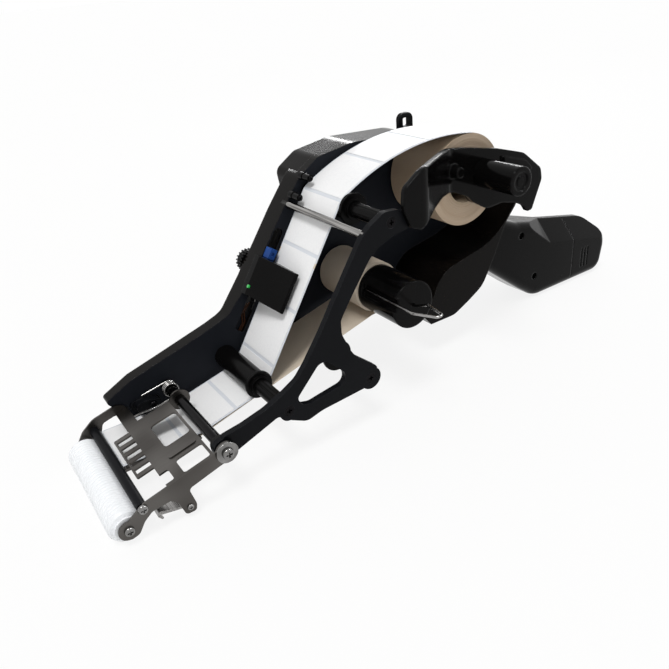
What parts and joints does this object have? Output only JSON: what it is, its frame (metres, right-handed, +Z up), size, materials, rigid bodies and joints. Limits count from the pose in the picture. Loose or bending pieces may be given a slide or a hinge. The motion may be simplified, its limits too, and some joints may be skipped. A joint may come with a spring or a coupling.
{
  "type": "label applicator",
  "caption": "Hand-held applicator that feeds self-adhesive labels from a roll, over guide rollers and a peel edge, under a sprung wiping roller, with a battery grip",
  "frame": {"origin": "middle of the footprint, on the table it stands on", "axes": "+X forward to the wiping roller, +Y to the side plate, +Z up"},
  "size_m": [0.6016, 0.1846, 0.208],
  "materials": {
    "casing_black": "satin moulded plastic with a soft sheen",
    "grip_black": "glossy moulded plastic",
    "plate_black": "satin black coated metal",
    "black_plastic": "matt moulded plastic",
    "bright_steel": "brushed sheet steel",
    "screw_steel": "plated steel",
    "spring_steel": "drawn wire",
    "black_anodised": "black anodised",
    "roller_white": "soft white rubber",
    "label_white": "smooth coated paper",
    "liner_paper": "translucent backing paper",
    "roll_kraft": "cut paper edge",
    "core_board": "wound board",
    "lamp_green": "clear tinted plastic",
    "block_blue": "moulded plastic",
    "lead_brown": "wire insulation",
    "gear_nylon": "natural nylon",
    "board_green": "coated circuit board",
    "motor_steel": "drawn can",
    "cell_green": "sleeved cell",
    "bush_black": "plastic washer"
  },
  "bodies": {
    "casing": {"main_casing": "casing_black", "outer_cover": "casing_black", "arm_back_plate": "casing_black", "side_plate": "plate_black", "pivot_shaft": "black_anodised", "pivot_bushes": "bush_black", "pivot_washer": "screw_steel", "pivot_screw": "screw_steel", "tie_rod": "bright_steel", "guide_spindles": "bright_steel", "plate_screws": "black_anodised", "web_pegs": "black_plastic", "wall_screws": "screw_steel", "liner_web": "liner_paper", "labels": "label_white", "supply_spindle": "casing_black", "motor": "motor_steel", "gear_carrier": "bright_steel", "circuit_board": "board_green", "hanging_eye": "plate_black", "stop_block": "plate_black", "peel_plate": "bright_steel", "sensor_leads": "lead_brown", "grip_shell_near": "grip_black", "grip_shell_far": "grip_black", "shell_screws": "screw_steel", "trigger_switch": "black_plastic", "cell_tray": "black_plastic", "battery_cells": "cell_green"},
    "bracket": {"tip_bracket": "bright_steel", "tie_bar": "plate_black", "wiper_axle": "bright_steel", "bracket_screws": "screw_steel", "guide_leaf": "bright_steel", "torsion_spring": "spring_steel"},
    "wiper": {"wiper_roller": "roller_white"},
    "upper_guide": {"upper_roller": "black_plastic"},
    "lower_guide": {"lower_roller": "black_plastic"},
    "foot_guide": {"foot_roller": "black_plastic"},
    "upper_stop": {"upper_collar": "black_plastic"},
    "lower_stop": {"lower_collar": "black_plastic"},
    "foot_stop": {"foot_collar": "black_plastic"},
    "supply": {"roll_core": "core_board", "label_roll": "roll_kraft"},
    "retainer": {"retaining_arm": "grip_black"},
    "retainer_nut": {"retaining_knob": "grip_black"},
    "takeup": {"takeup_hub": "grip_black", "liner_roll": "liner_paper", "drive_gear": "gear_nylon"},
    "clip": {"liner_clip": "spring_steel"},
    "idler": {"idler_gear": "gear_nylon"},
    "pinion": {"motor_pinion": "gear_nylon"},
    "sensor": {"sensor_housing": "black_plastic", "sensor_lamp": "lamp_green", "sensor_fork": "black_plastic", "sensor_block": "block_blue", "sensor_tab": "bright_steel"},
    "sensor_nut": {"thumb_wheel": "black_plastic"},
    "cover": {"battery_cover": "grip_black"},
    "trigger_lever": {"trigger": "grip_black"}
  },
  "joints": [
    {"name": "bracket_lift", "type": "hinge", "parent": "casing", "child": "bracket", "pos_m": [0.2116, 0.00775, 0.0395], "axis": [0, 1, 0], "range_deg": [-25, 0], "stiffness_Nm_per_rad": 0.8, "springref_deg": 68.75},
    {"name": "wiper_spin", "type": "hinge", "parent": "bracket", "child": "wiper", "pos_m": [0.2881, 0.00475, 0.01275], "axis": [0, 1, 0], "continuous": true},
    {"name": "takeup_spin", "type": "hinge", "parent": "casing", "child": "takeup", "pos_m": [0.0346, -0.00225, 0.09], "axis": [0, 1, 0], "continuous": true},
    {"name": "supply_spin", "type": "hinge", "parent": "casing", "child": "supply", "pos_m": [-0.0675, -0.02125, 0.1582], "axis": [0, 1, 0], "continuous": true},
    {"name": "upper_spin", "type": "hinge", "parent": "casing", "child": "upper_guide", "pos_m": [0.0551, -0.00025, 0.1642], "axis": [0, 1, 0], "continuous": true},
    {"name": "lower_spin", "type": "hinge", "parent": "casing", "child": "lower_guide", "pos_m": [0.1568, -0.00025, 0.046], "axis": [0, 1, 0], "continuous": true},
    {"name": "foot_spin", "type": "hinge", "parent": "casing", "child": "foot_guide", "pos_m": [0.0821, -0.00025, 0.0428], "axis": [0, 1, 0], "continuous": true},
    {"name": "idler_spin", "type": "hinge", "parent": "casing", "child": "idler", "pos_m": [0.00122, -0.06025, 0.10349], "axis": [0, 1, 0], "continuous": true},
    {"name": "pinion_spin", "type": "hinge", "parent": "casing", "child": "pinion", "pos_m": [-0.00778, -0.06025, 0.11907], "axis": [0, 1, 0], "continuous": true},
    {"name": "upper_collar_slide", "type": "slide", "parent": "upper_guide", "child": "upper_stop", "axis": [0, 1, 0], "range_m": [0, 0.036]},
    {"name": "lower_collar_slide", "type": "slide", "parent": "lower_guide", "child": "lower_stop", "axis": [0, 1, 0], "range_m": [0, 0.036]},
    {"name": "foot_collar_slide", "type": "slide", "parent": "foot_guide", "child": "foot_stop", "axis": [0, 1, 0], "range_m": [0, 0.036]},
    {"name": "retainer_slide", "type": "slide", "parent": "casing", "child": "retainer", "axis": [0, 1, 0], "range_m": [0, 0.024]},
    {"name": "retainer_nut_turn", "type": "hinge", "parent": "retainer", "child": "retainer_nut", "pos_m": [-0.0699, 0.04775, 0.1674], "axis": [0, 1, 0], "continuous": true},
    {"name": "clip_slide", "type": "slide", "parent": "takeup", "child": "clip", "axis": [0, 1, 0], "range_m": [0, 0.055]},
    {"name": "sensor_slide", "type": "slide", "parent": "casing", "child": "sensor", "axis": [0.5485, 0, -0.8361], "range_m": [-0.024, 0.026]},
    {"name": "sensor_nut_turn", "type": "hinge", "parent": "sensor", "child": "sensor_nut", "pos_m": [0.10898, -0.07925, 0.11105], "axis": [0, 1, 0], "continuous": true},
    {"name": "cover_slide", "type": "slide", "parent": "casing", "child": "cover", "axis": [-1, 0, 0], "range_m": [0, 0.034]},
    {"name": "trigger_pull", "type": "hinge", "parent": "casing", "child": "trigger_lever", "pos_m": [-0.1239, -0.03125, 0.074], "axis": [0, 1, 0], "range_deg": [0, 9], "stiffness_Nm_per_rad": 0.05, "springref_deg": -22.92}
  ],
  "couplings": [
    {"joint": "idler_spin", "follows": "takeup_spin", "ratio": -2},
    {"joint": "pinion_spin", "follows": "takeup_spin", "ratio": 4},
    {"joint": "supply_spin", "follows": "takeup_spin", "ratio": 0.5466},
    {"joint": "upper_spin", "follows": "takeup_spin", "ratio": 2.0472},
    {"joint": "lower_spin", "follows": "takeup_spin", "ratio": -2.2604},
    {"joint": "foot_spin", "follows": "takeup_spin", "ratio": -1.839}
  ]
}
